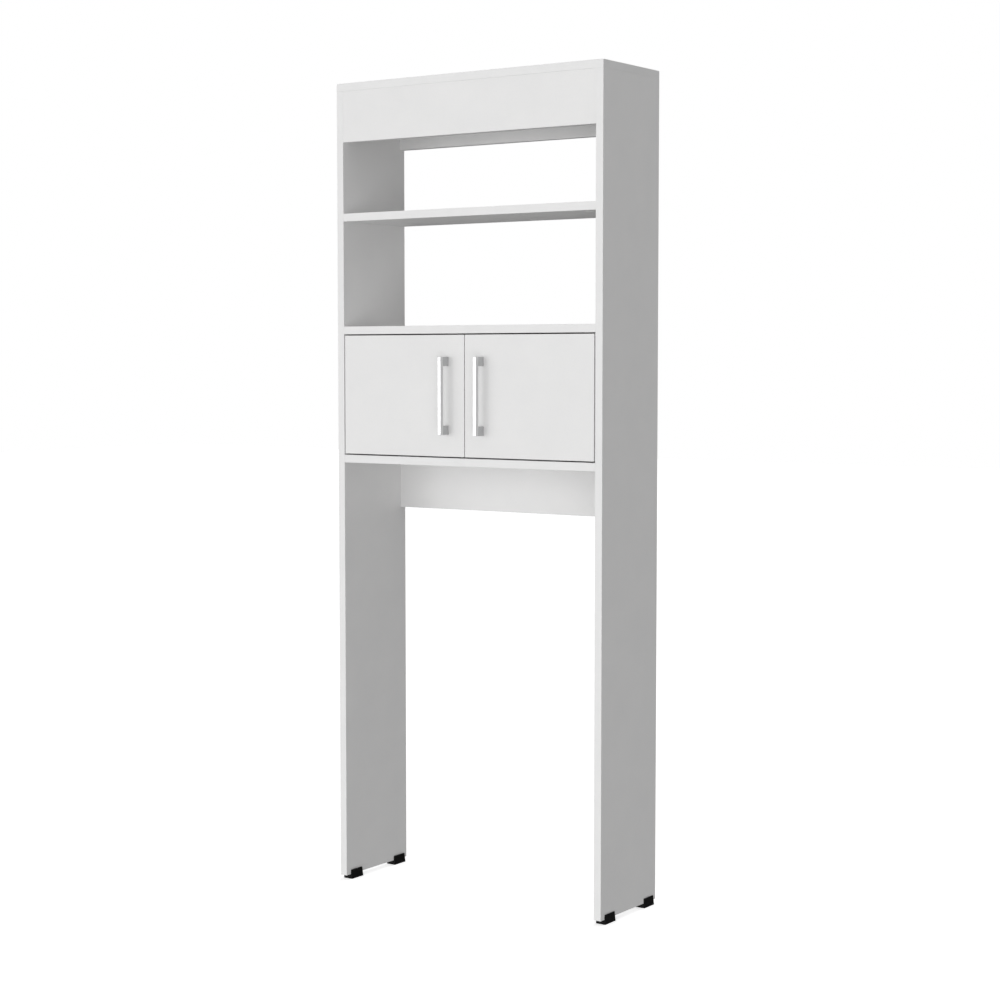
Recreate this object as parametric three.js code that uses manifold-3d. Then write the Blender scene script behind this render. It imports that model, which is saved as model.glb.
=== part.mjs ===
// A free-standing storage rack that stands over a toilet: two tall side panels joined by a top,
// an open shelf and a two-door cabinet, with the doors set in between the side panels on
// concealed cup hinges.
//
// Millimetres. The origin is on the floor, under the middle of the object's bounding box:
// +X to the right as you face the doors, +Y towards the wall, +Z up.

import * as THREE from "three";
import { mergeVertices } from "three/addons/utils/BufferGeometryUtils.js";
import Module from "manifold-3d";

const wasm = await Module();
wasm.setup();

// ---------------------------------------------------------------- driving dimensions

const WIDTH = 600; // over the side panels' outer faces
const DEPTH = 193; // side panels, front to back
const BOARD = 15; // board thickness
const BACK_SHEET = 3; // thickness of the cabinet's hardboard back
const SIDE_HEIGHT = 1518.5;
const RAIL_HEIGHT = 96.5; // front fascia and both rear rails
const DOOR_GAP = 2.5; // round a door's top, bottom and hinge edge
const CENTRE_GAP = 2; // between the two doors

const FOOT = {
  height: 9, // floor to the panel's lower edge
  length: 35.5,
  rise: 9, // how far its cheeks climb the panel
  inner: 3, // thickness of the cheek on the panel's inner face
  outer: 2, // thickness of the cheek on the outer face
  frontInset: 13,
  backInset: 7,
  taper: 3.5,
};

const HANDLE = {
  width: 7,
  barDepth: 8,
  length: 145,
  projection: 25,
  postHeight: 17,
  fromCentre: 40, // object's middle to the bar's centre line
};

const SIDE_BOTTOM = FOOT.height;
const SIDE_TOP = SIDE_BOTTOM + SIDE_HEIGHT;
const CABINET_BOTTOM = 819; // underside of the cabinet's bottom panel
const CABINET_TOP = 1080.5; // upper face of the cabinet's top shelf
const UPPER_SHELF = 1281; // underside of the open shelf

const INNER = WIDTH / 2 - BOARD; // x of the right side panel's inner face
const FRONT = (HANDLE.projection - DEPTH) / 2; // y of the boards' front edges
const BACK = FRONT + DEPTH;
const SHELF_DEPTH = DEPTH - BACK_SHEET;

const CABINET_FLOOR = CABINET_BOTTOM + BOARD;
const CABINET_CEILING = CABINET_TOP - BOARD;
const DOOR_BOTTOM = CABINET_FLOOR + DOOR_GAP;
const DOOR_TOP = CABINET_CEILING - DOOR_GAP;

// Cam fittings that draw the boards together.
const CAM = { radius: 7.5, depth: 12, fromEnd: 34, fromFront: 38, segments: 20 };

// Screws, by shank radius, head radius and lengths. A hole is wider than its screw by CLEARANCE.
const CLEARANCE = 0.3;
const HANDLE_SCREW = { shank: 2, head: 4, headHeight: 2.2, length: 26 };
const CUP_SCREW = { shank: 1.6, head: 3.3, headHeight: 1.6, length: 11 };
const FOOT_NAIL = { shank: 1.2, head: 3.2, headHeight: 1.2, length: 20, recess: 3 };

// Concealed hinge. u runs from the side panel's inner face into the cabinet, v from the door's
// front face into the cabinet, w up from the hinge's middle. A and B are the arm's pivots, C and
// D the cup's: the outer link joins A to C and the inner link joins B to D.
const HINGE = {
  fromDoorEnd: 48, // door's top or bottom edge to the hinge's middle
  cupCentre: 24,
  cupRadius: 17.5,
  cupWall: 1,
  cupFloor: 3.3, // v of the cup's outside floor
  floorThickness: 0.8,
  flange: 1.2,
  flangeRadius: 19.2,
  ear: { inward: 9.5, up: 22.5, radius: 6 },
  A: [32.4, 28],
  B: [19, 13],
  C: [20.6, 7.4],
  D: [27.6, 7.4],
  pin: 1.1,
  pinProud: 0.3, // how far a pin's ends stand out of the cheeks
  bore: 1.3,
  looseBore: 2.05, // clearance round D, which the coupled links meet only nearly
  looseOffset: [0.15, -0.15],
  innerLinkHalf: 3.4,
  outerCheek: [3.8, 5.2],
  armCheek: [5.6, 6.9],
  lug: [7.4, 8.9],
  lugMargin: 2, // lug's metal round its pivots at the top
  lugSpread: 4, // and at the cup's floor
};

// The mounting plate: a wing with two screws, and a block that fills the arm's channel.
const PLATE = {
  centre: 52, // v of the wing's middle
  sheet: 1.8,
  wingHalf: 17, // wing's middle to the centre of its round end
  wingRadius: 6.5,
  screwRise: 16,
  screwHole: 2.1,
  blockFront: 44,
  blockShoulder: 49,
  blockBack: 80,
  blockNose: 8, // u of the block's lower front corner
  blockHalf: 5.2,
  underWeb: 0.4, // gap between the block and the arm's web
};

// ---------------------------------------------------------------- solids

function solid(geometry) {
  const positions = new THREE.BufferGeometry();
  positions.setAttribute("position", geometry.getAttribute("position"));
  if (geometry.index) positions.setIndex(geometry.index);
  const merged = mergeVertices(positions, 1e-4);
  return new wasm.Manifold(
    new wasm.Mesh({
      numProp: 3,
      vertProperties: new Float32Array(merged.attributes.position.array),
      triVerts: new Uint32Array(merged.index.array),
    }),
  );
}

function geometryOf(manifold) {
  const { vertProperties, triVerts } = manifold.getMesh();
  const geometry = new THREE.BufferGeometry();
  geometry.setAttribute("position", new THREE.BufferAttribute(vertProperties, 3));
  geometry.setIndex(new THREE.BufferAttribute(triVerts, 1));
  geometry.computeVertexNormals();
  return geometry;
}

const union = (...solids) => solids.reduce((a, b) => a.add(b));
const cut = (base, ...tools) => tools.reduce((a, b) => a.subtract(b), base);

// A box from its lowest to its highest corner.
function box([x0, y0, z0], [x1, y1, z1]) {
  const geometry = new THREE.BoxGeometry(x1 - x0, y1 - y0, z1 - z0);
  geometry.translate((x0 + x1) / 2, (y0 + y1) / 2, (z0 + z1) / 2);
  return solid(geometry);
}

// A cylinder that starts at a point and runs along a direction.
function cylinder(start, direction, radius, length, segments = 24) {
  const geometry = new THREE.CylinderGeometry(radius, radius, length, segments);
  geometry.translate(0, length / 2, 0);
  return place(solid(geometry), start, direction);
}

// A solid turned about +Y by a profile of [radius, height] points that starts and ends on the axis.
function turned(profile, segments = 24) {
  const points = profile.map(([r, h]) => new THREE.Vector2(r, h));
  return solid(new THREE.LatheGeometry(points, segments));
}

// Turns a solid made along +Y to point along a direction, and moves its origin to a point.
function place(made, [x, y, z], direction) {
  const turn = new THREE.Quaternion().setFromUnitVectors(
    new THREE.Vector3(0, 1, 0),
    new THREE.Vector3(...direction),
  );
  const matrix = new THREE.Matrix4().compose(
    new THREE.Vector3(x, y, z),
    turn,
    new THREE.Vector3(1, 1, 1),
  );
  return made.transform(matrix.elements);
}

// A flat outline in the u-v plane, raised from one height to another.
function prism(shape, low, high) {
  const geometry = new THREE.ExtrudeGeometry(shape, {
    depth: high - low,
    bevelEnabled: false,
    curveSegments: 3,
  });
  geometry.translate(0, 0, low);
  return solid(geometry);
}

function polygon(points) {
  return new THREE.Shape(points.map(([u, v]) => new THREE.Vector2(u, v)));
}

// A bent strip with round ends, along stations of [[u, v], half width].
function ribbon(stations) {
  const points = stations.map(([[u, v]]) => new THREE.Vector2(u, v));
  const widths = stations.map(([, half]) => half);
  const headings = points.map((point, i) => {
    const before = points[Math.max(i - 1, 0)];
    const after = points[Math.min(i + 1, points.length - 1)];
    return after.clone().sub(before).angle();
  });
  const offset = (i, turn) => {
    const angle = headings[i] + turn;
    return [
      points[i].x + widths[i] * Math.cos(angle),
      points[i].y + widths[i] * Math.sin(angle),
    ];
  };
  const quarter = Math.PI / 2;
  const last = points.length - 1;
  const shape = new THREE.Shape();
  shape.moveTo(...offset(0, quarter));
  for (let i = 1; i <= last; i++) shape.lineTo(...offset(i, quarter));
  const { x, y } = points[last];
  shape.absarc(x, y, widths[last], headings[last] + quarter, headings[last] - quarter, true);
  for (let i = last - 1; i >= 0; i--) shape.lineTo(...offset(i, -quarter));
  const start = points[0];
  shape.absarc(
    start.x,
    start.y,
    widths[0],
    headings[0] - quarter,
    headings[0] + quarter,
    true,
  );
  return shape;
}

// A strip with round ends between two points.
const capsule = (start, end, radius) => ribbon([[start, radius], [end, radius]]);

// A round hole in a flat outline.
function roundHole([u, v], radius) {
  const path = new THREE.Path();
  path.absarc(u, v, radius, 0, Math.PI);
  path.absarc(u, v, radius, Math.PI, 2 * Math.PI);
  return path;
}

function disc([u, v], radius, low, high, segments = 12) {
  return cylinder([u, v, low], [0, 0, 1], radius, high - low, segments);
}

// The same solid below and above the plane w = 0.
function bothCheeks(make, [near, far]) {
  return [make(-far, -near), make(near, far)];
}

// A screw or nail whose head rests on the plane h = 0 and whose shank runs along -Y.
function fastener({ shank, head, headHeight, length }) {
  return turned(
    [
      [0, -length],
      [shank, -length + 2 * shank],
      [shank, 0],
      [head, 0],
      [head, headHeight * 0.45],
      [head * 0.6, headHeight],
      [0, headHeight],
    ],
    12,
  );
}

// ---------------------------------------------------------------- the model

const rack = new THREE.Group();

function addMesh(name, manifold, material) {
  const mesh = new THREE.Mesh(geometryOf(manifold), material);
  mesh.name = name;
  rack.add(mesh);
}

function finish(color, roughness, metalness = 0) {
  return new THREE.MeshStandardMaterial({ color, roughness, metalness });
}

const melamine = finish(0xe9e9e8, 0.45);
const hardboard = finish(0xdcdcda, 0.6);
const blackPlastic = finish(0x2a2a2b, 0.5);
const satinMetal = finish(0xc4c5c7, 0.3, 1);
const handlePlastic = finish(0xa9aaac, 0.35, 0.6);
const steel = finish(0xb9bbbd, 0.3, 1);

// Two sides of the object: -1 is the left, +1 the right.
const SIDES = [
  ["left", -1],
  ["right", 1],
];

// ---------------------------------------------------------------- boards

function camBores(points, direction) {
  return points.map((point) =>
    cylinder(point, direction, CAM.radius, CAM.depth, CAM.segments),
  );
}

// The four cam bores in a shelf's underside, two at each end.
function shelfBores(bottom) {
  const points = [];
  for (const side of [-1, 1])
    for (const y of [FRONT + CAM.fromFront, FRONT + SHELF_DEPTH - CAM.fromFront])
      points.push([side * (INNER - CAM.fromEnd), y, bottom]);
  return camBores(points, [0, 0, 1]);
}

function shelf(bottom) {
  const board = box(
    [-INNER, FRONT, bottom],
    [INNER, FRONT + SHELF_DEPTH, bottom + BOARD],
  );
  return cut(board, ...shelfBores(bottom));
}

// An upright board across the object, with a cam bore at each end of its hidden face.
function rail(front, bottom) {
  const board = box(
    [-INNER, front, bottom],
    [INNER, front + BOARD, bottom + RAIL_HEIGHT],
  );
  const points = [-1, 1].map((side) => [
    side * (INNER - CAM.fromEnd),
    front + BOARD,
    bottom + RAIL_HEIGHT / 2,
  ]);
  return cut(board, ...camBores(points, [0, -1, 0]));
}

// Places of the feet along the depth: [name, front end].
const FOOT_PLACES = [
  ["front", FRONT + FOOT.frontInset],
  ["back", BACK - FOOT.backInset - FOOT.length],
];

function nailPoint(side, footFront) {
  return [side * (WIDTH / 2 - BOARD / 2), footFront + FOOT.length / 2];
}

function sidePanel(side) {
  const inner = side * INNER;
  const outer = (side * WIDTH) / 2;
  const board = box(
    [Math.min(inner, outer), FRONT, SIDE_BOTTOM],
    [Math.max(inner, outer), BACK, SIDE_TOP],
  );
  const camPoints = [FRONT + BOARD + CAM.fromFront, BACK - BOARD - CAM.fromFront].map(
    (y) => [inner, y, SIDE_TOP - CAM.fromEnd],
  );
  const nailHoles = FOOT_PLACES.map(([, footFront]) =>
    cylinder(
      [...nailPoint(side, footFront), SIDE_BOTTOM],
      [0, 0, 1],
      FOOT_NAIL.shank + CLEARANCE,
      FOOT_NAIL.recess + FOOT_NAIL.length - FOOT.height + 1,
      12,
    ),
  );
  return cut(board, ...camBores(camPoints, [side, 0, 0]), ...nailHoles);
}

function addBoards() {
  for (const [name, side] of SIDES)
    addMesh(`side_panel_${name}`, sidePanel(side), melamine);
  const topPanel = box(
    [-WIDTH / 2, FRONT, SIDE_TOP],
    [WIDTH / 2, BACK, SIDE_TOP + BOARD],
  );
  addMesh("top_panel", topPanel, melamine);
  addMesh("top_front_fascia", rail(FRONT, SIDE_TOP - RAIL_HEIGHT), melamine);
  addMesh("top_back_rail", rail(BACK - BOARD, SIDE_TOP - RAIL_HEIGHT), melamine);
  addMesh("upper_shelf", shelf(UPPER_SHELF), melamine);
  addMesh("cabinet_top_shelf", shelf(CABINET_CEILING), melamine);
  addMesh("cabinet_bottom_panel", shelf(CABINET_BOTTOM), melamine);
  addMesh("lower_back_rail", rail(BACK - BOARD, CABINET_BOTTOM - RAIL_HEIGHT), melamine);
  const backPanel = box(
    [-INNER + CLEARANCE, BACK - BACK_SHEET, CABINET_BOTTOM + CLEARANCE],
    [INNER - CLEARANCE, BACK, CABINET_TOP],
  );
  addMesh("cabinet_back_panel", backPanel, hardboard);
}

// ---------------------------------------------------------------- feet

// A plastic channel pressed on to a side panel's lower edge. Its cheeks taper towards the back.
function foot(side, footFront) {
  const inner = INNER - FOOT.inner;
  const outer = WIDTH / 2 + FOOT.outer;
  const top = FOOT.height + FOOT.rise;
  const profile = polygon([
    [0, 0],
    [FOOT.length, 0],
    [FOOT.length - FOOT.taper, top],
    [0, top],
  ]);
  const block = solid(
    new THREE.ExtrudeGeometry(profile, { depth: outer - inner, bevelEnabled: false }),
  );
  // The extrusion's width runs along the object's X, its length along Y.
  const matrix = new THREE.Matrix4().makeBasis(
    new THREE.Vector3(0, 1, 0),
    new THREE.Vector3(0, 0, 1),
    new THREE.Vector3(1, 0, 0),
  );
  matrix.setPosition(side > 0 ? inner : -outer, footFront, 0);
  const [nailX, nailY] = nailPoint(side, footFront);
  return cut(
    block.transform(matrix.elements),
    box(
      [side > 0 ? INNER : -WIDTH / 2, footFront - 1, FOOT.height],
      [side > 0 ? WIDTH / 2 : -INNER, footFront + FOOT.length + 1, top + 1],
    ),
    cylinder([nailX, nailY, 0], [0, 0, 1], FOOT_NAIL.head + CLEARANCE, FOOT_NAIL.recess),
    cylinder([nailX, nailY, 0], [0, 0, 1], FOOT_NAIL.shank + CLEARANCE, top, 12),
  );
}

function addFeet() {
  for (const [sideName, side] of SIDES)
    for (const [placeName, footFront] of FOOT_PLACES) {
      addMesh(`foot_${placeName}_${sideName}`, foot(side, footFront), blackPlastic);
      const nail = place(
        fastener(FOOT_NAIL),
        [...nailPoint(side, footFront), FOOT_NAIL.recess],
        [0, 0, -1],
      );
      addMesh(`foot_nail_${placeName}_${sideName}`, nail, steel);
    }
}

// ---------------------------------------------------------------- doors and handles

const HANDLE_MIDDLE = (DOOR_BOTTOM + DOOR_TOP) / 2;
const POST_SPACING = HANDLE.length - HANDLE.postHeight;
const POST_LEVELS = [
  ["lower", HANDLE_MIDDLE - POST_SPACING / 2],
  ["upper", HANDLE_MIDDLE + POST_SPACING / 2],
];
const HINGE_LEVELS = [
  ["lower", DOOR_BOTTOM + HINGE.fromDoorEnd],
  ["upper", DOOR_TOP - HINGE.fromDoorEnd],
];

function door(side) {
  const hingeEdge = side * (INNER - DOOR_GAP);
  const closingEdge = (side * CENTRE_GAP) / 2;
  const panel = box(
    [Math.min(hingeEdge, closingEdge), FRONT, DOOR_BOTTOM],
    [Math.max(hingeEdge, closingEdge), FRONT + BOARD, DOOR_TOP],
  );
  const back = FRONT + BOARD;
  const cupX = side * (INNER - HINGE.cupCentre);
  const earX = side * (INNER - HINGE.cupCentre - HINGE.ear.inward);
  const bores = [];
  for (const [, level] of HINGE_LEVELS) {
    bores.push(
      cylinder(
        [cupX, back, level],
        [0, -1, 0],
        HINGE.cupRadius + CLEARANCE,
        BOARD - HINGE.cupFloor + CLEARANCE,
        28,
      ),
    );
    for (const up of [-HINGE.ear.up, HINGE.ear.up])
      bores.push(
        cylinder(
          [earX, back, level + up],
          [0, -1, 0],
          CUP_SCREW.shank + CLEARANCE,
          CUP_SCREW.length,
          12,
        ),
      );
  }
  for (const [, level] of POST_LEVELS)
    bores.push(
      cylinder(
        [side * HANDLE.fromCentre, back + 1, level],
        [0, -1, 0],
        HANDLE_SCREW.shank + CLEARANCE,
        BOARD + 2,
        16,
      ),
    );
  return cut(panel, ...bores);
}

function handlePost(side, level) {
  const x = side * HANDLE.fromCentre;
  const half = HANDLE.width / 2;
  const block = box(
    [x - half, FRONT - HANDLE.projection + HANDLE.barDepth, level - HANDLE.postHeight / 2],
    [x + half, FRONT, level + HANDLE.postHeight / 2],
  );
  const thread = cylinder(
    [x, FRONT, level],
    [0, -1, 0],
    HANDLE_SCREW.shank + CLEARANCE,
    HANDLE_SCREW.length - BOARD + 1,
    16,
  );
  return cut(block, thread);
}

function handleBar(side) {
  const x = side * HANDLE.fromCentre;
  return box(
    [x - HANDLE.width / 2, FRONT - HANDLE.projection, HANDLE_MIDDLE - HANDLE.length / 2],
    [
      x + HANDLE.width / 2,
      FRONT - HANDLE.projection + HANDLE.barDepth,
      HANDLE_MIDDLE + HANDLE.length / 2,
    ],
  );
}

function addDoors() {
  for (const [name, side] of SIDES) {
    addMesh(`door_${name}`, door(side), melamine);
    addMesh(`handle_bar_${name}`, handleBar(side), satinMetal);
    for (const [levelName, level] of POST_LEVELS) {
      const screw = place(
        fastener(HANDLE_SCREW),
        [side * HANDLE.fromCentre, FRONT + BOARD, level],
        [0, 1, 0],
      );
      addMesh(`handle_post_${levelName}_${name}`, handlePost(side, level), handlePlastic);
      addMesh(`handle_screw_${levelName}_${name}`, screw, steel);
    }
  }
}

// ---------------------------------------------------------------- hinges

// The cup's parts are round about the door's thickness, so they are turned about +Y, which is +v.
function hingeCup() {
  const { cupRadius, cupWall, cupFloor, floorThickness, flange, flangeRadius, ear } = HINGE;
  const { lugSpread, lugMargin } = HINGE;
  const pinHalf = HINGE.lug[1] + HINGE.pinProud;
  const mouth = BOARD + flange;
  const inside = cupRadius - cupWall;
  const bowl = turned(
    [
      [0, cupFloor],
      [cupRadius - 1, cupFloor],
      [cupRadius, cupFloor + 1],
      [cupRadius, BOARD],
      [flangeRadius, BOARD],
      [flangeRadius, mouth],
      [inside, mouth],
      [inside, cupFloor + floorThickness],
      [0, cupFloor + floorThickness],
    ],
    28,
  ).translate([HINGE.cupCentre, 0, 0]);

  // The ears, drawn with u across and w up and raised along v.
  const earBar = prism(
    capsule(
      [HINGE.cupCentre + ear.inward, -ear.up],
      [HINGE.cupCentre + ear.inward, ear.up],
      ear.radius,
    ),
    -mouth,
    -BOARD,
  ).transform(new THREE.Matrix4().makeRotationX(Math.PI / 2).elements);
  const mouthHole = cylinder(
    [HINGE.cupCentre, BOARD - 1, 0],
    [0, 1, 0],
    inside,
    flange + 2,
    28,
  );
  const screwHoles = [-ear.up, ear.up].map((up) =>
    cylinder(
      [HINGE.cupCentre + ear.inward, BOARD - 1, up],
      [0, 1, 0],
      CUP_SCREW.shank + CLEARANCE,
      flange + 2,
      12,
    ),
  );

  const floor = cupFloor + floorThickness / 2;
  const lugs = bothCheeks(
    (low, high) =>
      prism(
        polygon([
          [HINGE.C[0] - lugSpread, floor],
          [HINGE.D[0] + lugSpread, floor],
          [HINGE.D[0] + lugMargin, HINGE.D[1] + lugMargin],
          [HINGE.C[0] - lugMargin, HINGE.C[1] + lugMargin],
        ]),
        low,
        high,
      ),
    HINGE.lug,
  );
  const pins = [HINGE.C, HINGE.D].map((point) =>
    disc(point, HINGE.pin, -pinHalf, pinHalf),
  );
  return union(bowl, cut(earBar, mouthHole, ...screwHoles), ...lugs, ...pins);
}

// A link's cheeks hook round between the other pivots' paths.
const EYE = 2.2;
const OUTER_PATH = [
  [HINGE.C, EYE],
  [[24.2, 9.3], 1.5],
  [[31.8, 17], 1.5],
  [HINGE.A, EYE],
];
const OUTER_WEB = [
  [30.7, 18.2],
  [33.2, 18.2],
  [33.4, 23.4],
  [31, 23.4],
];
const INNER_PATH = [
  [HINGE.B, EYE],
  [[23.6, 13.6], 1.3],
  [[26.7, 11.4], 1.5],
];
const ARM_TIP_PATH = [
  [HINGE.B, EYE],
  [[28.2, 15], 1.9],
  [[33.8, 18.6], 1.9],
  [HINGE.A, 2.7],
  [[30.8, 33.4], 2.4],
];

function outerLink() {
  const shape = ribbon(OUTER_PATH);
  shape.holes.push(roundHole(HINGE.A, HINGE.bore), roundHole(HINGE.C, HINGE.bore));
  const cheeks = bothCheeks((low, high) => prism(shape, low, high), HINGE.outerCheek);
  const web = prism(polygon(OUTER_WEB), -HINGE.outerCheek[1], HINGE.outerCheek[1]);
  return union(...cheeks, web);
}

function innerLink() {
  const loose = [HINGE.D[0] + HINGE.looseOffset[0], HINGE.D[1] + HINGE.looseOffset[1]];
  const shape = ribbon([...INNER_PATH, [loose, HINGE.looseBore + 0.7]]);
  shape.holes.push(roundHole(HINGE.B, HINGE.bore), roundHole(loose, HINGE.looseBore));
  return prism(shape, -HINGE.innerLinkHalf, HINGE.innerLinkHalf);
}

// The arm is a channel of sheet steel: two cheeks that face the side panel and a web across them.
// It is cranked so that the open door's edge swings round its bend.
const ARM = {
  sheet: 1.3,
  webLevel: 15.5, // u of the web's inner face over the mounting plate
  cheekFoot: 7, // u of the cheeks' edge over the mounting plate
  bend: [34.6, 30.5], // the web's outer corner beside the pivots
  straight: 47, // v where the web becomes parallel to the panel
  end: 84,
};

function hingeArm() {
  const { sheet, webLevel, cheekFoot, bend, straight, end } = ARM;
  const body = polygon([
    [29.9, 32.4],
    [14, 37],
    [cheekFoot, straight - 3],
    [cheekFoot, end],
    [webLevel + sheet, end],
    [webLevel + sheet, straight],
    bend,
  ]);
  const cheeks = bothCheeks(
    (low, high) => union(prism(body, low, high), prism(ribbon(ARM_TIP_PATH), low, high)),
    HINGE.armCheek,
  );
  const half = HINGE.armCheek[1];
  const web = polygon([
    bend,
    [webLevel + sheet, straight],
    [webLevel + sheet, end],
    [webLevel, end],
    [webLevel, straight - 0.5],
    [bend[0] - 1.3, bend[1] + 0.5],
  ]);
  const pinHalf = half + HINGE.pinProud;
  const pins = [HINGE.A, HINGE.B].map((point) => disc(point, HINGE.pin, -pinHalf, pinHalf));
  return union(...cheeks, prism(web, -half, half), ...pins);
}

function mountingPlate() {
  const { centre, sheet, wingHalf, screwRise, blockHalf } = PLATE;
  const blockTop = ARM.webLevel - PLATE.underWeb;
  const wing = prism(
    capsule([centre, -wingHalf], [centre, wingHalf], PLATE.wingRadius),
    0,
    sheet,
  );
  // The wing is drawn with v across and w up, then raised along u.
  const toPanel = new THREE.Matrix4().makeBasis(
    new THREE.Vector3(0, 1, 0),
    new THREE.Vector3(0, 0, 1),
    new THREE.Vector3(1, 0, 0),
  );
  const block = prism(
    polygon([
      [0, PLATE.blockFront],
      [0, PLATE.blockBack],
      [blockTop, PLATE.blockBack],
      [blockTop, PLATE.blockShoulder],
      [PLATE.blockNose, PLATE.blockFront],
    ]),
    -blockHalf,
    blockHalf,
  );
  const screwHoles = [-screwRise, screwRise].map((up) =>
    cylinder([-1, centre, up], [1, 0, 0], PLATE.screwHole, sheet + 2, 16),
  );
  return cut(union(wing.transform(toPanel.elements), block), ...screwHoles);
}

// Stands a hinge piece, made in u, v, w, beside the left or right panel at a height.
function atHinge(made, side, level) {
  const placed = side < 0 ? made : made.mirror([1, 0, 0]);
  return placed.translate([side * INNER, FRONT, level]);
}

function addHinges() {
  for (const [sideName, side] of SIDES)
    for (const [levelName, level] of HINGE_LEVELS) {
      const tag = `${levelName}_${sideName}`;
      addMesh(`hinge_cup_${tag}`, atHinge(hingeCup(), side, level), steel);
      addMesh(`hinge_arm_${tag}`, atHinge(hingeArm(), side, level), steel);
      addMesh(`hinge_plate_${tag}`, atHinge(mountingPlate(), side, level), steel);
      addMesh(`hinge_outer_link_${tag}`, atHinge(outerLink(), side, level), steel);
      addMesh(`hinge_inner_link_${tag}`, atHinge(innerLink(), side, level), steel);
      const earX = side * (INNER - HINGE.cupCentre - HINGE.ear.inward);
      for (const [endName, up] of [
        ["a", -HINGE.ear.up],
        ["b", HINGE.ear.up],
      ]) {
        const screw = place(
          fastener(CUP_SCREW),
          [earX, FRONT + BOARD + HINGE.flange, level + up],
          [0, 1, 0],
        );
        addMesh(`hinge_cup_screw_${endName}_${tag}`, screw, steel);
      }
    }
}

addBoards();
addFeet();
addDoors();
addHinges();

export default rack;
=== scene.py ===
"""Looks for a white melamine storage rack that stands over a toilet.

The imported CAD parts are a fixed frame. This script gives each of them a procedural material and
softened edges, adds the small fittings that CAD leaves out, and sets up a plain studio round them.
Metres, +Z up, with the doors facing -Y.
"""

import math
from collections import namedtuple

import bmesh
import bpy
from mathutils import Matrix, Vector


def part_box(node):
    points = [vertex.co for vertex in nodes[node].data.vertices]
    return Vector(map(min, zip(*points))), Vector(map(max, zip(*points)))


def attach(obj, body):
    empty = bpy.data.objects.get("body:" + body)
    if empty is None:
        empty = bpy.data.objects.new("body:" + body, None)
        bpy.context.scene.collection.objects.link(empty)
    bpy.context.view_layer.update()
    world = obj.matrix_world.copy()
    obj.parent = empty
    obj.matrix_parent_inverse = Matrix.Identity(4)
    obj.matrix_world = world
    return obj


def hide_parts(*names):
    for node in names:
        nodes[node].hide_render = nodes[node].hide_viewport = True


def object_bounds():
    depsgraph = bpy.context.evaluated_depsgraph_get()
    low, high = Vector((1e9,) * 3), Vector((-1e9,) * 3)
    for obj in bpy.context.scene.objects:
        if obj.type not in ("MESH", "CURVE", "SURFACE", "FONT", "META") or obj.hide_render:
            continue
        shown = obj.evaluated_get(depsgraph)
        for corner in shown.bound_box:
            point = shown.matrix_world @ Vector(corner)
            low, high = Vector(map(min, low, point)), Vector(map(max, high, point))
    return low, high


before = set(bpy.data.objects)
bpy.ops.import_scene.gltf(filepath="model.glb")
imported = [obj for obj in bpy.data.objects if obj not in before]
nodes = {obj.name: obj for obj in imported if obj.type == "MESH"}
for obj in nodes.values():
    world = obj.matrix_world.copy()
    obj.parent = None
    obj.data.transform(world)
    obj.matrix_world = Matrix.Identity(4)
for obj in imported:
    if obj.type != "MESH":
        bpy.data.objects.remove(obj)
cad_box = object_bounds()

# ---------------------------------------------------------------- sizes

MM = 0.001
SIDES = (("left", -1), ("right", 1))
LEVELS = ("lower", "upper")
DOWN = Vector((0, 0, -1))
BACK = Vector((0, 1, 0))

WELD_DISTANCE = 0.001 * MM  # corners of CAD triangles nearer than this are one
FLAT_ANGLE = math.radians(0.5)  # CAD triangles that meet at less than this are one face
SMOOTH_ANGLE = math.radians(32)  # faces that meet at less than this are shaded as one curve
FACING = 0.99  # a face looks along an axis if its normal's part along it is more than this
SQUARE = 0.9999  # and it is square to the axis if that part is more than this
BOARD_EDGE = 0.45 * MM  # radius of an edge-banded board's corners
SHEET_EDGE = 0.25 * MM  # and of the back sheet's
PIECE_EDGE = 0.1 * MM  # and of the small pieces that are made here

CAM_FROM_MIDDLE = 251 * MM  # x of the cam fittings, either side of the middle
SHELF_CAMS = (("front", -46 * MM), ("back", 68 * MM))  # their y under a shelf
PANEL_CAMS = (("front", -31 * MM), ("back", 56 * MM))  # their y in a side panel, below the top
PANEL_CAM_DROP = 34 * MM  # and how far they lie below the panel's end
CAM_RADIUS = 7.2 * MM
CAM_DEPTH = 11 * MM
CAM_DISH = 0.45 * MM  # the middle of the cam's face lies this far below its rim
CAM_SINK = 0.5 * MM  # and the rim lies this far below the board's face

BRAD_COLUMNS = 6
BRAD_INSET = 12 * MM  # from the back sheet's side edges
BRAD_FROM_EDGE = 7.5 * MM  # from its top and bottom edges

PLATE_SCREWS = (("a", -16 * MM), ("b", 16 * MM))  # their z, from the hinge's middle
PLATE_WING = 1.8 * MM  # thickness of the mounting plate's wings
PLATE_WING_FROM_FRONT = 8 * MM  # plate's front end to the middle of its wings
ARM_SCREWS = (("side", -20 * MM), ("fixing", -5 * MM))  # their y, from the end of the arm
ARM_WEB_RISE = 16.8 * MM  # side panel's inner face to the outside of the arm's web

Screw = namedtuple("Screw", "head_radius head_height shank_radius shank_length")
SCREWS = {
    "handle_screw": Screw(4 * MM, 2.2 * MM, 2 * MM, 26 * MM),
    "hinge_cup_screw": Screw(3.3 * MM, 1.6 * MM, 1.6 * MM, 11 * MM),
    "hinge_plate_screw": Screw(3.5 * MM, 1.5 * MM, 1.9 * MM, 14 * MM),
    "hinge_arm_screw": Screw(3.1 * MM, 1.1 * MM, 1.5 * MM, 4 * MM),
}

# ---------------------------------------------------------------- shader nodes

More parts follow.
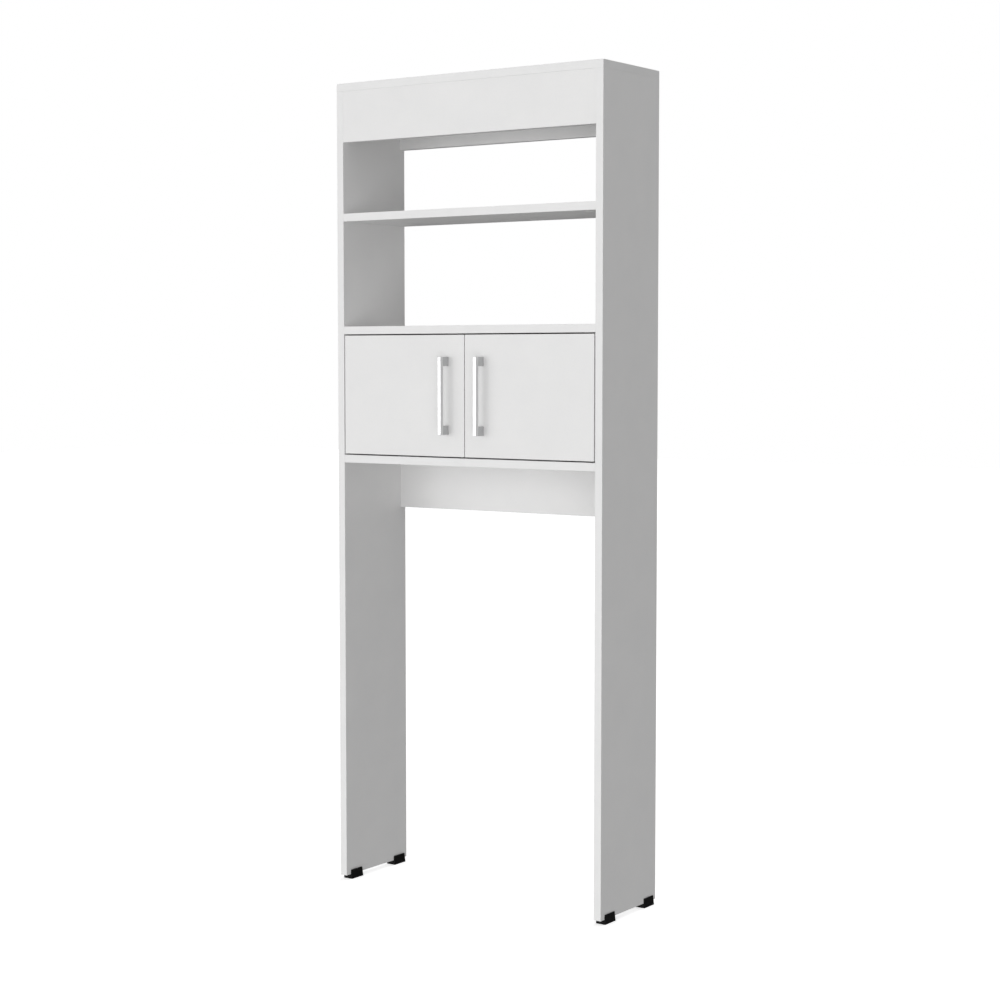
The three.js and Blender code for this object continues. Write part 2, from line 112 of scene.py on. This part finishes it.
UNIT = (0, 1)  # the range of a share
NOISE_RANGE = (0.3, 0.7)  # nearly all of a noise texture's values lie in here
MIX_FIRST, MIX_SECOND, MIX_RESULT = 6, 7, 2  # the Mix node's colour sockets
WHITE = (1, 1, 1, 1)


def feed(tree, socket, value):
    """Links a node's input to another socket, or sets its value."""
    if isinstance(value, bpy.types.NodeSocket):
        tree.links.new(value, socket)
    else:
        socket.default_value = value


def add_node(tree, kind, inputs, **settings):
    """A shader node with its settings and inputs; an input is a socket to link or a value."""
    made = tree.nodes.new("ShaderNode" + kind)
    for name, value in settings.items():
        setattr(made, name, value)
    for socket, value in inputs.items():
        feed(tree, made.inputs[socket], value)
    return made


class Surface:
    """A material: one Principled shader and the procedural nodes that feed it.

    Patterns lie in object coordinates, which on a CAD part are the shared frame's metres.
    """

    def __init__(self, name, sockets):
        self.material = bpy.data.materials.new(name)
        self.material.use_nodes = True
        self.tree = self.material.node_tree
        self.shader = self.tree.nodes["Principled BSDF"]
        self.relief_so_far = None
        self.drive(sockets)

    def drive(self, sockets):
        """Sets or links the shader's own sockets."""
        for name, value in sockets.items():
            feed(self.tree, self.shader.inputs[name], value)

    def add(self, kind, inputs, **settings):
        """A node in the material's own tree."""
        return add_node(self.tree, kind, inputs, **settings)

    def place(self, stretch):
        """Object coordinates, squeezed so that a pattern runs `stretch` times longer per axis."""
        here = self.add("TexCoord", {}).outputs["Object"]
        scale = [1 / s for s in stretch]
        return self.add("Mapping", {"Vector": here, "Scale": scale}).outputs["Vector"]

    def noise(self, grain, stretch=(1, 1, 1), detail=2.0):
        """Soft noise whose patches are about `grain` metres across, spread over 0 to 1."""
        inputs = {"Vector": self.place(stretch), "Scale": 1 / grain, "Detail": detail}
        return self.between(self.add("TexNoise", inputs).outputs["Fac"], NOISE_RANGE, UNIT)

    def cells(self, grain, stretch=(1, 1, 1)):
        """A Voronoi pattern of flat cells about `grain` metres across, each of its own level."""
        inputs = {"Vector": self.place(stretch), "Scale": 1 / grain}
        return self.add("TexVoronoi", inputs).outputs["Color"]

    def between(self, value, given, wanted):
        """The value carried from its given range to the wanted one and held at the ends."""
        inputs = {
            "Value": value,
            "From Min": given[0],
            "From Max": given[1],
            "To Min": wanted[0],
            "To Max": wanted[1],
        }
        return self.add("MapRange", inputs).outputs["Result"]

    def blend(self, share, first, second):
        """One colour turning into another as share goes from 0 to 1."""
        inputs = {"Factor": share, MIX_FIRST: first, MIX_SECOND: second}
        return self.add("Mix", inputs, data_type="RGBA").outputs[MIX_RESULT]

    def relief(self, height, depth):
        """Bumps up to `depth` metres high, laid over those that the surface has already."""
        inputs = {"Height": height, "Distance": depth}
        if self.relief_so_far:
            inputs["Normal"] = self.relief_so_far
        self.relief_so_far = self.add("Bump", inputs).outputs["Normal"]
        self.drive({"Normal": self.relief_so_far})


# ---------------------------------------------------------------- materials

HAIRLINE_RUN = 120  # an edge band's hairlines are this many times as long as they are wide
SCREEN_SCALE = 105  # the wave texture's scale that puts a wire of the press screen every 3 mm


def grey(level, warmth=0.0):
    """A near-neutral colour; warmth lowers its blue and raises its red a little."""
    return (level * (1 + warmth), level, level * (1 - warmth), 1)


def melamine_face():
    """Decor paper pressed with a fine pearl: faint clouds in its white and an uneven sheen."""
    surface = Surface("melamine_face", {"IOR": 1.5, "Specular IOR Level": 0.45})
    clouds = surface.noise(55 * MM, detail=4)
    flecks = surface.noise(1.8 * MM, detail=3)
    white = surface.blend(clouds, grey(0.75, 0.002), grey(0.768, 0.004))
    fleck_share = surface.between(flecks, (0.55, 1), (0, 0.22))
    handled = surface.noise(90 * MM, detail=5)
    surface.drive(
        {
            "Base Color": surface.blend(fleck_share, white, grey(0.69, 0.006)),
            "Roughness": surface.between(handled, (0.2, 0.9), (0.5, 0.54)),
        }
    )
    surface.relief(surface.noise(16 * MM, detail=1), 0.035 * MM)
    surface.relief(surface.noise(0.75 * MM, detail=2), 0.022 * MM)
    return surface.material


def edge_band(across):
    """Extruded edge banding with hairlines along the board; `across` is the board's thin axis."""
    surface = Surface(f"edge_band_{'xyz'[across]}", {"IOR": 1.5, "Specular IOR Level": 0.5})
    along = [1 if axis == across else HAIRLINE_RUN for axis in range(3)]
    hairlines = surface.noise(0.5 * MM, stretch=along, detail=2)
    clouds = surface.noise(40 * MM, detail=3)
    white = surface.blend(clouds, grey(0.745, 0.001), grey(0.77, 0.003))
    hairline_share = surface.between(hairlines, UNIT, (0, 0.3))
    surface.drive(
        {
            "Base Color": surface.blend(hairline_share, white, grey(0.72)),
            "Roughness": surface.between(hairlines, UNIT, (0.42, 0.52)),
        }
    )
    surface.relief(hairlines, 0.012 * MM)
    return surface.material


def raw_chipboard():
    """The board's pressed wood particles, bare inside a drilled bore."""
    surface = Surface("raw_chipboard", {"Roughness": 0.92, "IOR": 1.45})
    chips = surface.cells(1.9 * MM, stretch=(1.6, 1, 1))
    dust = surface.noise(0.5 * MM, detail=3)
    wood = surface.blend(chips, (0.33, 0.22, 0.125, 1), (0.52, 0.38, 0.235, 1))
    pores = surface.between(dust, (0, 0.35), (1, 0))
    surface.drive({"Base Color": surface.blend(pores, wood, (0.15, 0.095, 0.05, 1))})
    surface.relief(dust, 0.18 * MM)
    return surface.material


def painted_hardboard():
    """The back sheet's white side: paint rolled thin over smooth pressed fibre."""
    surface = Surface("painted_hardboard", {"IOR": 1.48})
    roller = surface.noise(2.4 * MM, detail=3)
    clouds = surface.noise(70 * MM, detail=3)
    surface.drive(
        {
            "Base Color": surface.blend(clouds, grey(0.70, 0.008), grey(0.735, 0.006)),
            "Roughness": surface.between(roller, UNIT, (0.5, 0.62)),
        }
    )
    surface.relief(roller, 0.03 * MM)
    return surface.material


def screened_hardboard():
    """The back sheet's bare side: brown fibre with the press screen's weave in it."""
    surface = Surface("screened_hardboard", {"Roughness": 0.88, "IOR": 1.45})
    fibres = surface.noise(0.9 * MM, stretch=(5, 1, 1), detail=5)
    clouds = surface.noise(45 * MM, detail=4)
    here = surface.add("TexCoord", {}).outputs["Object"]
    wires = {"Vector": here, "Scale": SCREEN_SCALE, "Distortion": 0.6, "Detail": 1}
    upright = surface.add("TexWave", wires, bands_direction="X").outputs["Fac"]
    level = surface.add("TexWave", wires, bands_direction="Z").outputs["Fac"]
    weave = surface.add("Math", {0: upright, 1: level}, operation="MAXIMUM").outputs[0]
    brown = surface.blend(fibres, (0.21, 0.125, 0.068, 1), (0.36, 0.23, 0.13, 1))
    pale = surface.blend(clouds, (0.29, 0.185, 0.108, 1), (0.40, 0.265, 0.16, 1))
    surface.drive({"Base Color": surface.blend(0.5, brown, pale)})
    surface.relief(weave, 0.16 * MM)
    surface.relief(fibres, 0.05 * MM)
    return surface.material


def black_plastic():
    """The feet: moulded black plastic with a spark-eroded grain, scuffed paler where it rubs."""
    surface = Surface("black_plastic_moulded", {"IOR": 1.5, "Specular IOR Level": 0.1})
    grain = surface.noise(0.35 * MM, detail=2)
    rubbing = surface.noise(3 * MM, stretch=(1, 4, 1), detail=6)
    scuffs = surface.between(rubbing, (0.62, 0.95), (0, 0.6))
    surface.drive(
        {
            "Base Color": surface.blend(scuffs, grey(0.004), grey(0.02)),
            "Roughness": surface.between(scuffs, (0, 0.6), (0.55, 0.75)),
        }
    )
    surface.relief(grain, 0.03 * MM)
    return surface.material


def satin_aluminium():
    """The handles' bars: anodised, with drawing lines down their length."""
    surface = Surface(
        "satin_aluminium_drawn",
        {"Metallic": 1.0, "Anisotropic": 0.4, "Coat Weight": 0.12, "Coat Roughness": 0.25},
    )
    lines = surface.noise(0.16 * MM, stretch=(1, 1, 260), detail=3)
    handled = surface.noise(22 * MM, detail=4)
    surface.drive(
        {
            "Base Color": surface.blend(lines, grey(0.66, -0.006), grey(0.70, -0.004)),
            "Roughness": surface.between(handled, UNIT, (0.36, 0.41)),
        }
    )
    surface.relief(lines, 0.003 * MM)
    return surface.material


def silver_plastic():
    """The handles' posts: silver-grey plastic with metal flake and a fine moulded grain."""
    surface = Surface("silver_plastic_moulded", {"Metallic": 0.2, "IOR": 1.5})
    flakes = surface.cells(0.22 * MM)
    grain = surface.noise(0.4 * MM, detail=2)
    surface.drive(
        {
            "Base Color": surface.blend(flakes, grey(0.43, -0.008), grey(0.58, -0.006)),
            "Roughness": surface.between(grain, UNIT, (0.38, 0.48)),
        }
    )
    surface.relief(grain, 0.012 * MM)
    return surface.material


def nickel_steel():
    """The hinges: pressed steel under nickel, faintly rolled and duller in patches."""
    surface = Surface("nickel_steel_pressed", {"Metallic": 1.0})
    rolled = surface.noise(0.3 * MM, stretch=(1, 30, 1), detail=3)
    patches = surface.noise(6 * MM, detail=4)
    surface.drive(
        {
            "Base Color": surface.blend(patches, grey(0.56, 0.03), grey(0.68, 0.015)),
            "Roughness": surface.between(patches, UNIT, (0.23, 0.38)),
        }
    )
    surface.relief(rolled, 0.006 * MM)
    return surface.material


def zinc_plate(name, level, roughness, depth):
    """Bright zinc with a faint bluish passivation; a cast piece is duller and coarser."""
    surface = Surface(name, {"Metallic": 1.0})
    spangle = surface.noise(1.2 * MM, detail=4)
    skin = surface.noise(0.25 * MM, detail=2)
    surface.drive(
        {
            "Base Color": surface.blend(spangle, grey(level * 0.88, -0.03), grey(level, 0.01)),
            "Roughness": surface.between(spangle, UNIT, (roughness, roughness + 0.14)),
        }
    )
    surface.relief(skin, depth)
    return surface.material


def cap_plastic():
    """The press-in caps over the cams: plain white plastic, a shade glossier than the board."""
    light_depth = (2 * MM, 1.8 * MM, 1.5 * MM)
    surface = Surface(
        "white_cap_plastic",
        {"IOR": 1.5, "Subsurface Weight": 0.05, "Subsurface Radius": light_depth},
    )
    sheen = surface.noise(1.5 * MM, detail=3)
    surface.drive(
        {
            "Base Color": surface.blend(sheen, grey(0.735), grey(0.765, 0.002)),
            "Roughness": surface.between(sheen, UNIT, (0.36, 0.46)),
        }
    )
    surface.relief(sheen, 0.01 * MM)
    return surface.material


MELAMINE = melamine_face()
EDGE_BANDS = [edge_band(axis) for axis in range(3)]
CHIPBOARD = raw_chipboard()
HARDBOARD_WHITE = painted_hardboard()
HARDBOARD_BARE = screened_hardboard()
FOOT_PLASTIC = black_plastic()
ALUMINIUM = satin_aluminium()
POST_PLASTIC = silver_plastic()
NICKEL = nickel_steel()
SCREW_ZINC = zinc_plate("zinc_screw_bright", 0.66, 0.24, 0.004 * MM)
CAST_ZINC = zinc_plate("zinc_cast", 0.5, 0.42, 0.03 * MM)
CAP_PLASTIC = cap_plastic()

# ---------------------------------------------------------------- CAD parts


def round_edges(thing, radius, segments=2):
    """A bevel modifier on the sharp edges."""
    bevel = thing.modifiers.new("edges", "BEVEL")
    bevel.width = radius
    bevel.segments = segments
    bevel.limit_method = "ANGLE"
    bevel.angle_limit = SMOOTH_ANGLE
    bevel.harden_normals = True


def soften(part, radius, segments=2):
    """Joins a CAD part's loose triangles into faces and rounds its sharp edges, as modifiers."""
    mesh = part.data
    for shading in ("custom_normal", "sharp_face", "sharp_edge"):
        if shading in mesh.attributes:
            mesh.attributes.remove(mesh.attributes[shading])
    part.modifiers.new("weld", "WELD").merge_threshold = WELD_DISTANCE
    flats = part.modifiers.new("flats", "DECIMATE")
    flats.decimate_type = "DISSOLVE"
    flats.angle_limit = FLAT_ANGLE
    flats.delimit = {"MATERIAL"}
    round_edges(part, radius, segments)


def paint(part, *materials):
    """Gives a CAD part its material slots; its faces stay on the first."""
    part.data.materials.clear()
    for material in materials:
        part.data.materials.append(material)


def parts_in(slot):
    """The names and objects of the CAD parts that the record gives this slot."""
    return [(name, part) for name, part in nodes.items() if part.data.materials[0].name == slot]


def thin_axis(name):
    """The axis, 0 to 2, along which a board is thinnest."""
    low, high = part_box(name)
    size = high - low
    return min(range(3), key=lambda axis: size[axis])


def board_material(normal, thin):
    """0 for a board's broad faces, 1 for its edges and 2 for the walls of bores."""
    if abs(normal[thin]) > FACING:
        return 0
    straight = max(abs(component) for component in normal) > SQUARE
    return 1 if straight else 2


def dress_boards():
    """Melamine faces, banded edges and bare chipboard where a board is drilled."""
    for name, part in parts_in("white_melamine"):
        thin = thin_axis(name)
        paint(part, MELAMINE, EDGE_BANDS[thin], CHIPBOARD)
        for face in part.data.polygons:
            face.material_index = board_material(face.normal, thin)
        soften(part, BOARD_EDGE, segments=3)


def dress_back_sheet():
    """White towards the cabinet, bare brown fibre towards the wall and round the edges."""
    part = nodes["cabinet_back_panel"]
    paint(part, HARDBOARD_WHITE, HARDBOARD_BARE)
    for face in part.data.polygons:
        face.material_index = 0 if face.normal.y < -FACING else 1
    soften(part, SHEET_EDGE)


def dress_fittings():
    """One material and edge radius for each other slot of the record."""
    finishes = {
        "black_plastic": (FOOT_PLASTIC, 0.5 * MM),
        "satin_aluminium": (ALUMINIUM, 0.6 * MM),
        "silver_plastic": (POST_PLASTIC, 0.5 * MM),
        "nickel_steel": (NICKEL, 0.15 * MM),
        "zinc_screw": (SCREW_ZINC, 0.12 * MM),
    }
    for slot, (material, radius) in finishes.items():
        for _, part in parts_in(slot):
            paint(part, material)
            soften(part, radius)


# ---------------------------------------------------------------- shapes for new pieces


def turned(profile, segments=32):
    """A solid turned about Z from (radius, height) points that start and end on the axis."""
    shape = bmesh.new()
    rings = []
    for radius, height in profile:
        count = segments if radius else 1
        ring = []
        for step in range(count):
            angle = 2 * math.pi * step / segments
            x, y = radius * math.cos(angle), radius * math.sin(angle)
            ring.append(shape.verts.new((x, y, height)))
        rings.append(ring)
    for lower, upper in zip(rings, rings[1:]):
        for step in range(segments):
            after = (step + 1) % segments
            corners = (
                lower[step % len(lower)],
                lower[after % len(lower)],
                upper[after % len(upper)],
                upper[step % len(upper)],
            )
            shape.faces.new(list(dict.fromkeys(corners)))
    bmesh.ops.recalc_face_normals(shape, faces=shape.faces)
    return shape


def tapered_prism(outline, bottom, top, taper):
    """A prism on an (x, y) outline whose bottom is `taper` times the size of its top."""
    shape = bmesh.new()
    lower = [shape.verts.new((x * taper, y * taper, bottom)) for x, y in outline]
    upper = [shape.verts.new((x, y, top)) for x, y in outline]
    shape.faces.new(list(reversed(lower)))
    shape.faces.new(upper)
    for step in range(len(outline)):
        after = (step + 1) % len(outline)
        shape.faces.new((lower[step], lower[after], upper[after], upper[step]))
    return shape


def cross(arm, width):
    """The outline of a cross whose arms reach `arm` from its middle."""
    half = width / 2
    quarter = [(arm, -half), (arm, half), (half, half)]
    outline = []
    for _ in range(4):
        outline += quarter
        quarter = [(-y, x) for x, y in quarter]
    return outline


def as_mesh(name, shape):
    """The shape as a mesh of its own; the shape itself is used up."""
    mesh = bpy.data.meshes.new(name)
    shape.to_mesh(mesh)
    shape.free()
    return mesh


def carved(name, blank, cutter):
    """A mesh of the blank with the cutter taken out of it."""
    body = bpy.data.objects.new(name, as_mesh(name, blank))
    tool = bpy.data.objects.new(f"{name}_cutter", as_mesh(name, cutter))
    for temporary in (body, tool):
        bpy.context.collection.objects.link(temporary)
    cut = body.modifiers.new("cut", "BOOLEAN")
    cut.operation = "DIFFERENCE"
    cut.solver = "EXACT"
    cut.object = tool
    seen = body.evaluated_get(bpy.context.evaluated_depsgraph_get())
    mesh = bpy.data.meshes.new_from_object(seen)
    for temporary in (body, tool):
        bpy.data.objects.remove(temporary)
    return mesh


def coated(mesh, material):
    """The mesh in its material, shaded smooth between its sharp edges."""
    mesh.materials.append(material)
    mesh.shade_smooth()
    return mesh


def aimed(point, direction):
    """The matrix that stands a piece made about +Z on a point, facing along a direction."""
    turn = direction.to_track_quat("Z", "Y").to_matrix().to_4x4()
    return Matrix.Translation(point) @ turn


def add_piece(name, mesh, matrix, body="root"):
    """A new piece with rounded edges that rides on a CAD body."""
    piece = bpy.data.objects.new(name, mesh)
    bpy.context.collection.objects.link(piece)
    round_edges(piece, PIECE_EDGE)
    piece.matrix_world = matrix
    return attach(piece, body)


def crosshead(kind):
    """A pan-head screw with a cross recess; its head sits on z = 0 and its shank runs down."""
    head, height, shank, length = SCREWS[kind]
    blank = turned(
        [
            (0, -length),
            (shank * 0.5, -length + shank),
            (shank, -length + 2.5 * shank),
            (shank, 0),
            (head, 0),
            (head, height * 0.35),
            (head * 0.93, height * 0.66),
            (head * 0.78, height * 0.88),
            (head * 0.55, height),
            (0, height),
        ]
    )
    recess = tapered_prism(cross(head * 0.56, head * 0.24), height * 0.15, height * 1.2, 0.55)
    return coated(carved(kind, blank, recess), SCREW_ZINC)


# ---------------------------------------------------------------- fittings that CAD leaves out


def cam_mesh():
    """A cast cam lock: a dished face with a cross slot and a small raised pointer."""
    rim = CAM_RADIUS
    blank = turned(
        [
            (0, -CAM_DEPTH),
            (rim, -CAM_DEPTH),
            (rim, -0.5 * MM),
            (rim - 0.5 * MM, 0),
            (rim - 1.2 * MM, 0),
            (rim - 1.6 * MM, -CAM_DISH),
            (0, -CAM_DISH),
        ],
        segments=48,
    )
    slot = tapered_prism(cross(3.4 * MM, 1.3 * MM), bottom=-3 * MM, top=1 * MM, taper=0.7)
    mesh = carved("cam_lock", blank, slot)
    tip = rim - 2 * MM
    outline = [(tip, 0), (tip - 1.4 * MM, 0.8 * MM), (tip - 1.4 * MM, -0.8 * MM)]
    pointer = tapered_prism(outline, bottom=-0.8 * MM, top=-0.2 * MM, taper=1)
    pointer.from_mesh(mesh)
    pointer.to_mesh(mesh)
    pointer.free()
    return coated(mesh, CAST_ZINC)


def cap_mesh():
    """A press-in cap: a shallow domed disc with a stepped rim."""
    rim = CAM_RADIUS + 1.5 * MM
    profile = [
        (0, -4 * MM),
        (CAM_RADIUS, -4 * MM),
        (CAM_RADIUS, 0),
        (rim, 0),
        (rim, 0.25 * MM),
        (rim - 0.35 * MM, 0.6 * MM),
        (rim - 1.6 * MM, 0.78 * MM),
        (rim - 5 * MM, 0.95 * MM),
        (0, 1 * MM),
    ]
    return coated(as_mesh("cam_cap", turned(profile, segments=48)), CAP_PLASTIC)


def add_cam(name, cam, mouth, outward):
    """A cam in its bore, given the middle of the bore's mouth and the way that it faces."""
    add_piece(name, cam, aimed(mouth - outward * CAM_SINK, outward))


def add_shelf_cams(side_name, side, cam, cap):
    """Cams in one end of each shelf's underside, where they show, so each has a white cap."""
    for shelf in ("upper_shelf", "cabinet_top_shelf", "cabinet_bottom_panel"):
        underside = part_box(shelf)[0].z
        for place, y in SHELF_CAMS:
            name = f"{shelf}_cam_{place}_{side_name}"
            mouth = Vector((side * CAM_FROM_MIDDLE, y, underside))
            add_cam(name, cam, mouth, DOWN)
            add_piece(f"{name}_cap", cap, aimed(mouth, DOWN))


def add_rail_cams(side_name, side, cam):
    """A cam in one end of the fascia's and each rail's hidden back."""
    for rail in ("top_front_fascia", "top_back_rail", "lower_back_rail"):
        low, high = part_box(rail)
        mouth = Vector((side * CAM_FROM_MIDDLE, high.y, (low.z + high.z) / 2))
        add_cam(f"{rail}_cam_{side_name}", cam, mouth, BACK)


def add_panel_cams(side_name, side, cam):
    """Cams that hold the top panel, inside the upper end of a side panel."""
    low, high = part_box(f"side_panel_{side_name}")
    inner_face = low.x if side > 0 else high.x
    for place, y in PANEL_CAMS:
        mouth = Vector((inner_face, y, high.z - PANEL_CAM_DROP))
        add_cam(f"side_panel_cam_{place}_{side_name}", cam, mouth, Vector((-side, 0, 0)))


def add_cams():
    """A cam in every cam bore of the boards."""
    cam, cap = cam_mesh(), cap_mesh()
    for side_name, side in SIDES:
        add_shelf_cams(side_name, side, cam, cap)
        add_rail_cams(side_name, side, cam)
        add_panel_cams(side_name, side, cam)


def add_brads():
    """Round-headed brads through the back sheet into the cabinet's top shelf and bottom panel."""
    profile = [
        (0, -14 * MM),
        (0.6 * MM, -13 * MM),
        (0.6 * MM, 0),
        (1.9 * MM, 0),
        (1.8 * MM, 0.3 * MM),
        (1.2 * MM, 0.6 * MM),
        (0, 0.72 * MM),
    ]
    mesh = coated(as_mesh("back_brad", turned(profile, segments=20)), SCREW_ZINC)
    low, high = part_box("cabinet_back_panel")
    span = high.x - low.x - 2 * BRAD_INSET
    rows = (("bottom", low.z + BRAD_FROM_EDGE), ("top", high.z - BRAD_FROM_EDGE))
    for row, z in rows:
        for column in range(BRAD_COLUMNS):
            x = low.x + BRAD_INSET + span * column / (BRAD_COLUMNS - 1)
            matrix = aimed(Vector((x, high.y, z)), BACK)
            add_piece(f"back_brad_{row}_{column + 1}", mesh, matrix)


def add_door_screws():
    """Cross-recessed screws in place of CAD's plain ones, on the backs of the doors."""
    for kind in ("handle_screw", "hinge_cup_screw"):
        mesh = crosshead(kind)
        for name in sorted(node for node in nodes if node.startswith(kind)):
            low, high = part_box(name)
            seat_y = high.y - SCREWS[kind].head_height
            seat = Vector(((low.x + high.x) / 2, seat_y, (low.z + high.z) / 2))
            body = f"{name.split('_')[-1]}_door"
            piece = add_piece(f"crossed_{name}", mesh, aimed(seat, BACK), body=body)
            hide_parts(name)


def add_hinge_screws():
    """Each hinge's two plate screws, and the two adjusting screws in the web of its arm."""
    plate_screw, arm_screw = crosshead("hinge_plate_screw"), crosshead("hinge_arm_screw")
    for side_name, side in SIDES:
        inward = Vector((-side, 0, 0))
        for level in LEVELS:
            hinge = f"{level}_{side_name}"
            plate_low, plate_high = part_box(f"hinge_plate_{hinge}")
            panel_face = plate_high.x if side > 0 else plate_low.x
            wing_y = plate_low.y + PLATE_WING_FROM_FRONT
            middle = (plate_low + plate_high) / 2
            for end, rise in PLATE_SCREWS:
                point = Vector((panel_face, wing_y, middle.z + rise)) + inward * PLATE_WING
                add_piece(f"hinge_plate_screw_{end}_{hinge}", plate_screw, aimed(point, inward))
            arm_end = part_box(f"hinge_arm_{hinge}")[1].y
            web_face = panel_face + inward.x * ARM_WEB_RISE
            for end, offset in ARM_SCREWS:
                point = Vector((web_face, arm_end + offset, middle.z))
                add_piece(f"hinge_arm_screw_{end}_{hinge}", arm_screw, aimed(point, inward))


# ---------------------------------------------------------------- studio

# The camera was solved from the rack's straight edges in the photograph.
CAMERA_PLACE = (2.2432, -3.2086, 1.0191)
CAMERA_TURN = math.radians(34.696)  # to the left, from looking straight at the rack's front
CAMERA_DIP = math.radians(3.896)  # below level
CAMERA_LENS = 74.78  # focal length in millimetres, as is the sensor's width
CAMERA_SENSOR = 36

SUN_DISTANCE = 4  # metres from the rack's middle; a sun's light is the same from anywhere
WIDE_SUN = math.radians(40)  # a wider sun throws softer shadows
NARROW_SUN = math.radians(20)
FLOOR_REACH = 15  # metres from the rack's middle to each edge
FLOOR_GLOW = 0.6


def add_camera():
    """The photograph's own view of the rack."""
    camera = bpy.data.objects.new("camera", bpy.data.cameras.new("camera"))
    bpy.context.collection.objects.link(camera)
    camera.location = CAMERA_PLACE
    camera.rotation_euler = (math.pi / 2 - CAMERA_DIP, 0, CAMERA_TURN)
    camera.data.lens = CAMERA_LENS
    camera.data.sensor_width = CAMERA_SENSOR
    bpy.context.scene.camera = camera


def add_sun(name, azimuth, elevation, energy, angle):
    """A sun; its azimuth in degrees is 0 straight in front of the rack and 90 at its right."""
    light = bpy.data.lights.new(name, "SUN")
    light.energy = energy
    light.angle = angle
    turn, lift = math.radians(azimuth), math.radians(elevation)
    towards = Vector(
        (math.sin(turn) * math.cos(lift), -math.cos(turn) * math.cos(lift), math.sin(lift))
    )
    lamp = bpy.data.objects.new(name, light)
    bpy.context.collection.objects.link(lamp)
    middle = (cad_box[0] + cad_box[1]) / 2
    lamp.matrix_world = aimed(middle + towards * SUN_DISTANCE, towards)


def add_world(ambient, brighter):
    """Soft light from all round, stronger along `brighter`; the camera itself sees plain white."""
    world = bpy.data.worlds.new("studio")
    world.use_nodes = True
    bpy.context.scene.world = world
    tree = world.node_tree
    direction = add_node(tree, "TexCoord", {}).outputs["Generated"]
    lean = add_node(tree, "VectorMath", {0: direction, 1: brighter}, operation="DOT_PRODUCT")
    level = add_node(tree, "Math", {0: lean.outputs["Value"], 1: ambient}, operation="ADD")
    light = tree.nodes["Background"]
    feed(tree, light.inputs["Color"], WHITE)
    feed(tree, light.inputs["Strength"], level.outputs[0])
    backdrop = add_node(tree, "Background", {"Color": WHITE})
    from_camera = add_node(tree, "LightPath", {}).outputs["Is Camera Ray"]
    shaders = {0: from_camera, 1: light.outputs[0], 2: backdrop.outputs[0]}
    shown = add_node(tree, "MixShader", shaders).outputs[0]
    feed(tree, tree.nodes["World Output"].inputs["Surface"], shown)


def add_floor():
    """A pale glowing floor that only the camera sees: it doesn't light, tint or shade the rack."""
    surface = Surface("studio_floor", {"Roughness": 0.8, "Specular IOR Level": 0.2})
    clouds = surface.noise(400 * MM, detail=3)
    surface.drive(
        {
            "Base Color": surface.blend(clouds, grey(0.84), grey(0.86)),
            "Emission Color": WHITE,
            "Emission Strength": FLOOR_GLOW,
        }
    )
    surface.relief(surface.noise(6 * MM), 0.05 * MM)
    shape = bmesh.new()
    bmesh.ops.create_grid(shape, x_segments=8, y_segments=8, size=FLOOR_REACH)
    floor = bpy.data.objects.new("floor", as_mesh("floor", shape))
    floor.data.materials.append(surface.material)
    bpy.context.collection.objects.link(floor)
    floor.visible_diffuse = False
    floor.visible_glossy = False
    floor.visible_shadow = False


# ---------------------------------------------------------------- the scene

dress_back_sheet()
dress_boards()
dress_fittings()
add_cams()
add_brads()
add_door_screws()
add_hinge_screws()

add_camera()
add_sun("key", azimuth=-12, elevation=0, energy=0.74, angle=WIDE_SUN)
add_sun("key_left", azimuth=-35, elevation=0, energy=0.48, angle=WIDE_SUN)
add_sun("fill", azimuth=35, elevation=-15, energy=0.66, angle=WIDE_SUN)
add_sun("back", azimuth=180, elevation=30, energy=1.25, angle=NARROW_SUN)
add_world(ambient=0.335, brighter=(0.088, -0.212, 0.105))
add_floor()
bpy.context.scene.view_settings.view_transform = "Standard"
